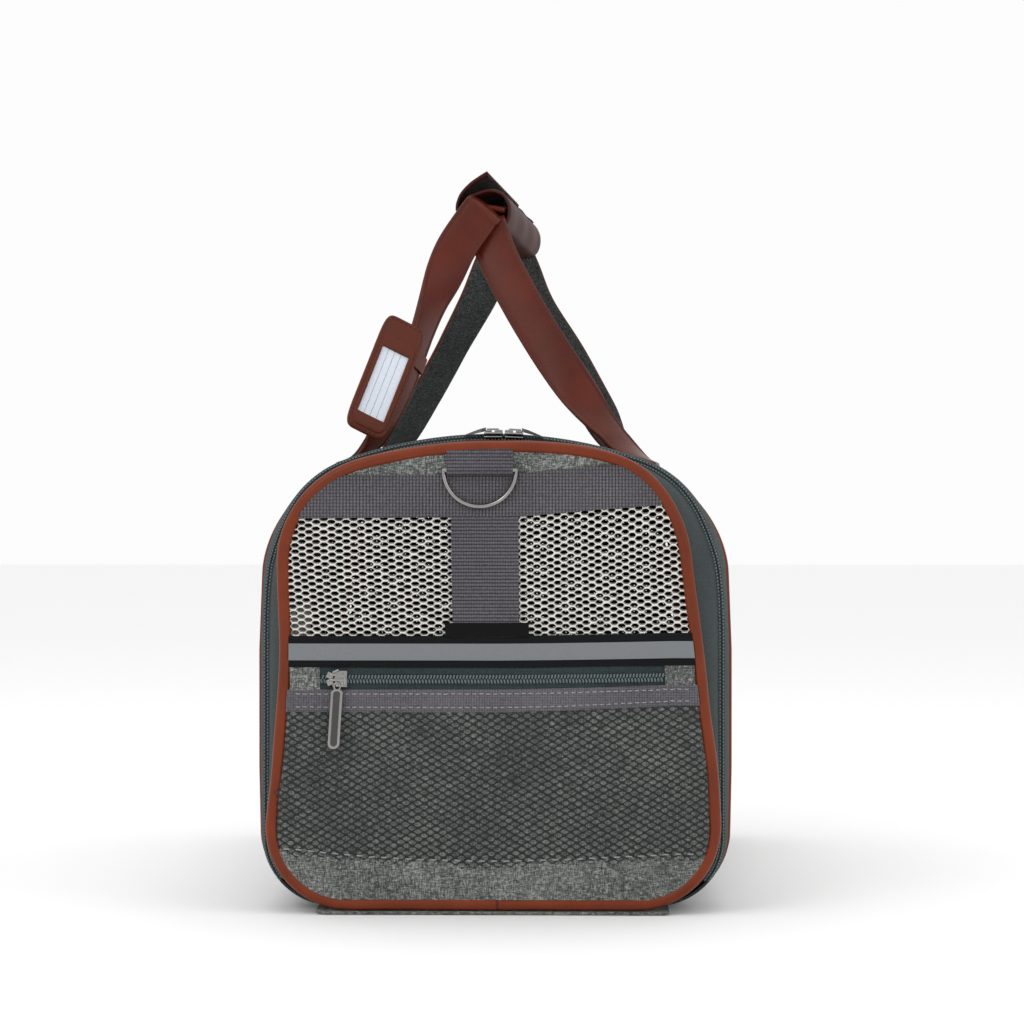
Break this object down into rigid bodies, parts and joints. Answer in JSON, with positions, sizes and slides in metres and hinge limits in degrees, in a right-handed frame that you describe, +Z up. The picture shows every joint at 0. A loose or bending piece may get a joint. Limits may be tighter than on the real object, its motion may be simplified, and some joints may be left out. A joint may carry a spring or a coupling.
{
  "type": "pet carrier bag",
  "caption": "Soft-sided carrier bag for a small pet, with a zipped mesh end door, a zip pocket and two leather handles held by a wrap.",
  "frame": {"origin": "on the floor, under the middle of the bag", "axes": "+Z up, +Y from the door end to the rear end, +X to the right seen from the door end"},
  "size_m": [0.273, 0.4654, 0.4442],
  "materials": {
    "heather_fabric": "salt-and-pepper heather weave",
    "dark_fabric": "dark grey-green fine weave",
    "webbing": "ribbed mauve-grey webbing",
    "white_mesh": "warm white hexagonal air mesh",
    "black_net": "black diamond net",
    "leather": "smooth chestnut leather with fine grain",
    "reflective": "grey reflective tape",
    "black_tape": "black woven tape",
    "zip_coil": "dark nylon coil on woven tape",
    "metal": "polished",
    "dark_metal": "dark lacquered",
    "fleece": "cream fleece",
    "board": "black stiffener",
    "card": "white card with plain ruled lines",
    "wire": "spring steel"
  },
  "bodies": {
    "bag": {"base_board": "board", "base_panel": "heather_fabric", "door_zip_body_side": "zip_coil", "fleece_bed": "fleece", "front_collar": "dark_fabric", "front_frame_wire": "wire", "front_seam_piping": "leather", "left_handle_anchors": "leather", "left_handle_legs": "leather", "left_side_mesh": "white_mesh", "left_side_panel": "heather_fabric", "rear_band": "dark_fabric", "rear_collar": "dark_fabric", "rear_frame_wire": "wire", "rear_lower_panel": "heather_fabric", "rear_mesh": "white_mesh", "rear_piping": "leather", "rear_ring_loop": "webbing", "rear_seam_piping": "leather", "rear_top_panel": "heather_fabric", "rear_top_webbing": "webbing", "right_handle_anchors": "leather", "right_handle_legs": "leather", "right_side_mesh": "white_mesh", "right_side_panel": "heather_fabric", "top_mesh": "white_mesh", "top_panel": "heather_fabric"},
    "door": {"door_piping": "leather", "door_top_panel": "heather_fabric", "door_mesh": "white_mesh", "door_lower_panel": "heather_fabric", "door_bottom_panel": "heather_fabric", "door_band": "dark_fabric", "door_zip_door_side": "zip_coil", "door_top_webbing": "webbing", "door_centre_webbing": "webbing", "front_ring_loop": "webbing", "strip_tape": "black_tape", "reflective_strip": "reflective", "blank_label": "black_tape", "pocket_zip": "zip_coil", "pocket_zip_tabs": "heather_fabric", "pocket_binding": "webbing", "pocket_mesh": "black_net"},
    "pocket_slider_body": {"pocket_slider": "metal"},
    "pocket_pull_body": {"pocket_pull": "metal"},
    "door_slider_left_body": {"door_slider_left": "metal"},
    "door_slider_right_body": {"door_slider_right": "metal"},
    "door_pull_left_body": {"door_pull_left": "dark_metal"},
    "door_pull_right_body": {"door_pull_right": "dark_metal"},
    "front_ring": {"front_d_ring": "metal"},
    "rear_ring": {"rear_d_ring": "metal"},
    "grip": {"handle_wrap": "leather", "left_handle_grip": "leather", "right_handle_grip": "leather"},
    "flap": {"wrap_flap": "leather"},
    "tag_tie": {"tag_strap": "leather"},
    "tag": {"tag_holder": "leather", "tag_card": "card"}
  },
  "joints": [
    {"name": "front_door", "type": "hinge", "parent": "bag", "child": "door", "pos_m": [0, -0.225, 0.0063], "axis": [1, 0, 0], "range_deg": [0, 88]},
    {"name": "pocket_zip_run", "type": "slide", "parent": "door", "child": "pocket_slider_body", "axis": [1, 0, 0], "range_m": [0, 0.175]},
    {"name": "pocket_pull_swing", "type": "hinge", "parent": "pocket_slider_body", "child": "pocket_pull_body", "pos_m": [-0.0886, -0.2318, 0.1292], "axis": [-1, 0, 0], "range_deg": [0, 165]},
    {"name": "door_zip_left_run", "type": "hinge", "parent": "bag", "child": "door_slider_left_body", "pos_m": [0, -0.206, 0.008], "axis": [0, -1, 0], "range_deg": [0, 9]},
    {"name": "door_zip_right_run", "type": "hinge", "parent": "bag", "child": "door_slider_right_body", "pos_m": [0, -0.206, 0.008], "axis": [0, 1, 0], "range_deg": [0, 9]},
    {"name": "door_pull_left_swing", "type": "hinge", "parent": "door_slider_left_body", "child": "door_pull_left_body", "pos_m": [-0.00629, -0.206, 0.27893], "axis": [0, 1, 0], "range_deg": [0, 90]},
    {"name": "door_pull_right_swing", "type": "hinge", "parent": "door_slider_right_body", "child": "door_pull_right_body", "pos_m": [0.01829, -0.206, 0.27838], "axis": [0, -1, 0], "range_deg": [0, 90]},
    {"name": "front_ring_swing", "type": "hinge", "parent": "door", "child": "front_ring", "pos_m": [-0.0072, -0.2298, 0.2544], "axis": [-1, 0, 0], "range_deg": [0, 150]},
    {"name": "rear_ring_swing", "type": "hinge", "parent": "bag", "child": "rear_ring", "pos_m": [-0.0072, 0.2298, 0.2544], "axis": [1, 0, 0], "range_deg": [0, 150]},
    {"name": "handle_drop", "type": "slide", "parent": "bag", "child": "grip", "axis": [0, 0, -1], "range_m": [0, 0.06], "deforming": ["left_handle_legs", "right_handle_legs"]},
    {"name": "wrap_flap_lift", "type": "hinge", "parent": "grip", "child": "flap", "pos_m": [-0.0286, 0, 0.4193], "axis": [0, -1, 0], "range_deg": [0, 120]},
    {"name": "tag_lean", "type": "hinge", "parent": "bag", "child": "tag_tie", "pos_m": [-0.0725, -0.11, 0.282], "axis": [0, 1, 0], "range_deg": [0, 10.4]},
    {"name": "tag_swing", "type": "hinge", "parent": "tag_tie", "child": "tag", "pos_m": [-0.05504, -0.0982, 0.3483], "axis": [-0.9398, 0, 0.3417], "range_deg": [0, 80]}
  ],
  "couplings": [
    {"joint": "tag_lean", "follows": "handle_drop", "rad_per_m": 3}
  ]
}
